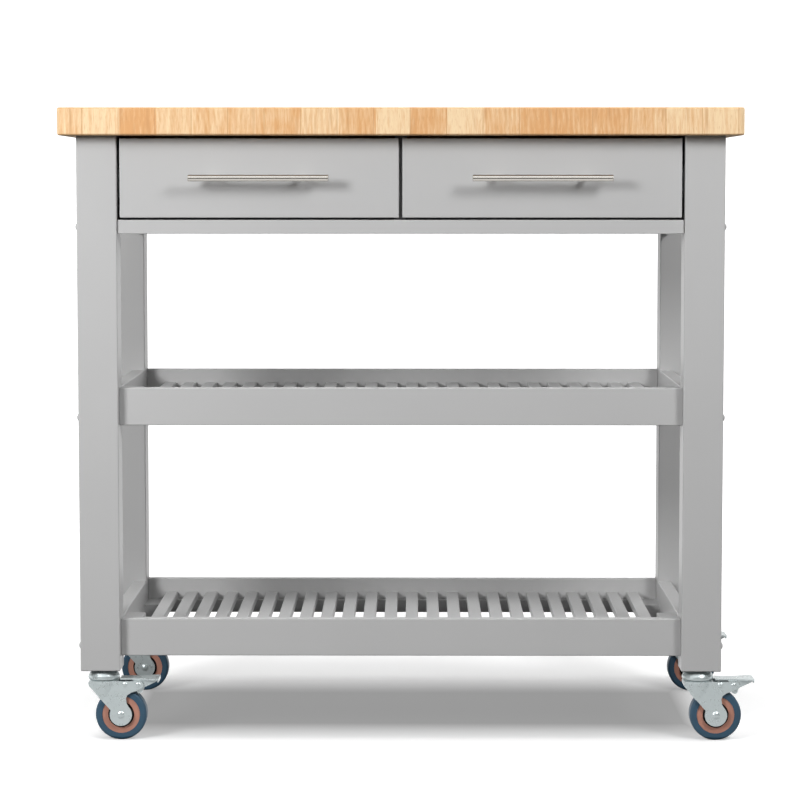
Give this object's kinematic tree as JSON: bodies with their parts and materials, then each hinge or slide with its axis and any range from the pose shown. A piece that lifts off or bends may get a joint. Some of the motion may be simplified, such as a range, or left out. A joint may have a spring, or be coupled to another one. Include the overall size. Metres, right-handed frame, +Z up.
{
  "type": "kitchen island cart",
  "caption": "Kitchen island cart with a thick butcher-block top, inset drawers with bar handles, slatted tray shelves and braked swivel casters.",
  "frame": {"origin": "on the floor under the middle of the overall length and depth, brake pedals and handles included; the worktop's centre is 15 mm towards -X and 3 mm towards +Y of it", "axes": "+Z up, +X along the worktop to the right as seen from the drawers' side, +Y from the drawers' side to the back"},
  "size_m": [1.046, 0.514, 0.9525],
  "materials": {
    "butcher_block": "oiled end-grain block",
    "grey_paint": "satin light grey paint on wood",
    "drawer_box_wood": "clear lacquered",
    "stainless": "brushed along the bar",
    "zinc": "bright zinc plate",
    "tyre_blue": "matt blue-grey",
    "core_terracotta": "matt terracotta"
  },
  "bodies": {
    "cart": {"worktop": "butcher_block", "leg_front_left": "grey_paint", "leg_front_right": "grey_paint", "leg_rear_left": "grey_paint", "leg_rear_right": "grey_paint", "apron_left": "grey_paint", "apron_right": "grey_paint", "apron_rear": "grey_paint", "drawer_floor_panel": "grey_paint", "drawer_divider": "grey_paint", "case_runners": "zinc", "leg_bolts": "grey_paint", "shelf_supports": "grey_paint", "caster_stems": "zinc", "shelf_upper_rail_front": "grey_paint", "shelf_upper_rail_rear": "grey_paint", "shelf_upper_rail_left": "grey_paint", "shelf_upper_rail_right": "grey_paint", "shelf_upper_slats": "grey_paint", "shelf_lower_rail_front": "grey_paint", "shelf_lower_rail_rear": "grey_paint", "shelf_lower_rail_left": "grey_paint", "shelf_lower_rail_right": "grey_paint", "shelf_lower_slats": "grey_paint"},
    "drawer_left": {"drawer_left_front": "grey_paint", "drawer_left_side_outer": "drawer_box_wood", "drawer_left_side_inner": "drawer_box_wood", "drawer_left_back": "drawer_box_wood", "drawer_left_base": "drawer_box_wood", "drawer_left_runners": "zinc", "drawer_left_handle_bar": "stainless", "drawer_left_handle_posts": "stainless"},
    "drawer_right": {"drawer_right_front": "grey_paint", "drawer_right_side_outer": "drawer_box_wood", "drawer_right_side_inner": "drawer_box_wood", "drawer_right_back": "drawer_box_wood", "drawer_right_base": "drawer_box_wood", "drawer_right_runners": "zinc", "drawer_right_handle_bar": "stainless", "drawer_right_handle_posts": "stainless"},
    "swivel_front_left": {"caster_front_left_fork": "zinc", "caster_front_left_pins": "zinc"},
    "wheel_front_left": {"caster_front_left_tyre": "tyre_blue", "caster_front_left_core": "core_terracotta"},
    "pedal_front_left": {"caster_front_left_pedal": "zinc"},
    "swivel_front_right": {"caster_front_right_fork": "zinc", "caster_front_right_pins": "zinc"},
    "wheel_front_right": {"caster_front_right_tyre": "tyre_blue", "caster_front_right_core": "core_terracotta"},
    "pedal_front_right": {"caster_front_right_pedal": "zinc"},
    "swivel_rear_left": {"caster_rear_left_fork": "zinc", "caster_rear_left_pins": "zinc"},
    "wheel_rear_left": {"caster_rear_left_tyre": "tyre_blue", "caster_rear_left_core": "core_terracotta"},
    "pedal_rear_left": {"caster_rear_left_pedal": "zinc"},
    "swivel_rear_right": {"caster_rear_right_fork": "zinc", "caster_rear_right_pins": "zinc"},
    "wheel_rear_right": {"caster_rear_right_tyre": "tyre_blue", "caster_rear_right_core": "core_terracotta"},
    "pedal_rear_right": {"caster_rear_right_pedal": "zinc"}
  },
  "joints": [
    {"name": "drawer_left_slide", "type": "slide", "parent": "cart", "child": "drawer_left", "axis": [0, -1, 0], "range_m": [0, 0.28]},
    {"name": "drawer_right_slide", "type": "slide", "parent": "cart", "child": "drawer_right", "axis": [0, -1, 0], "range_m": [0, 0.28]},
    {"name": "swivel_front_left_turn", "type": "hinge", "parent": "cart", "child": "swivel_front_left", "pos_m": [-0.465, -0.1996, 0.088], "axis": [0, 0, 1], "continuous": true},
    {"name": "wheel_front_left_spin", "type": "hinge", "parent": "swivel_front_left", "child": "wheel_front_left", "pos_m": [-0.4385, -0.1996, 0.0388], "axis": [0, 1, 0], "continuous": true},
    {"name": "pedal_front_left_press", "type": "hinge", "parent": "swivel_front_left", "child": "pedal_front_left", "pos_m": [-0.412, -0.1996, 0.0845], "axis": [0, 1, 0], "range_deg": [0, 8]},
    {"name": "swivel_front_right_turn", "type": "hinge", "parent": "cart", "child": "swivel_front_right", "pos_m": [0.435, -0.1996, 0.088], "axis": [0, 0, 1], "continuous": true},
    {"name": "wheel_front_right_spin", "type": "hinge", "parent": "swivel_front_right", "child": "wheel_front_right", "pos_m": [0.4615, -0.1996, 0.0388], "axis": [0, 1, 0], "continuous": true},
    {"name": "pedal_front_right_press", "type": "hinge", "parent": "swivel_front_right", "child": "pedal_front_right", "pos_m": [0.488, -0.1996, 0.0845], "axis": [0, 1, 0], "range_deg": [0, 8]},
    {"name": "swivel_rear_left_turn", "type": "hinge", "parent": "cart", "child": "swivel_rear_left", "pos_m": [-0.469, 0.2056, 0.088], "axis": [0, 0, 1], "continuous": true},
    {"name": "wheel_rear_left_spin", "type": "hinge", "parent": "swivel_rear_left", "child": "wheel_rear_left", "pos_m": [-0.4425, 0.2056, 0.0388], "axis": [0, 1, 0], "continuous": true},
    {"name": "pedal_rear_left_press", "type": "hinge", "parent": "swivel_rear_left", "child": "pedal_rear_left", "pos_m": [-0.416, 0.2056, 0.0845], "axis": [0, 1, 0], "range_deg": [0, 8]},
    {"name": "swivel_rear_right_turn", "type": "hinge", "parent": "cart", "child": "swivel_rear_right", "pos_m": [0.439, 0.2056, 0.088], "axis": [0, 0, 1], "continuous": true},
    {"name": "wheel_rear_right_spin", "type": "hinge", "parent": "swivel_rear_right", "child": "wheel_rear_right", "pos_m": [0.4655, 0.2056, 0.0388], "axis": [0, 1, 0], "continuous": true},
    {"name": "pedal_rear_right_press", "type": "hinge", "parent": "swivel_rear_right", "child": "pedal_rear_right", "pos_m": [0.492, 0.2056, 0.0845], "axis": [0, 1, 0], "range_deg": [0, 8]}
  ]
}
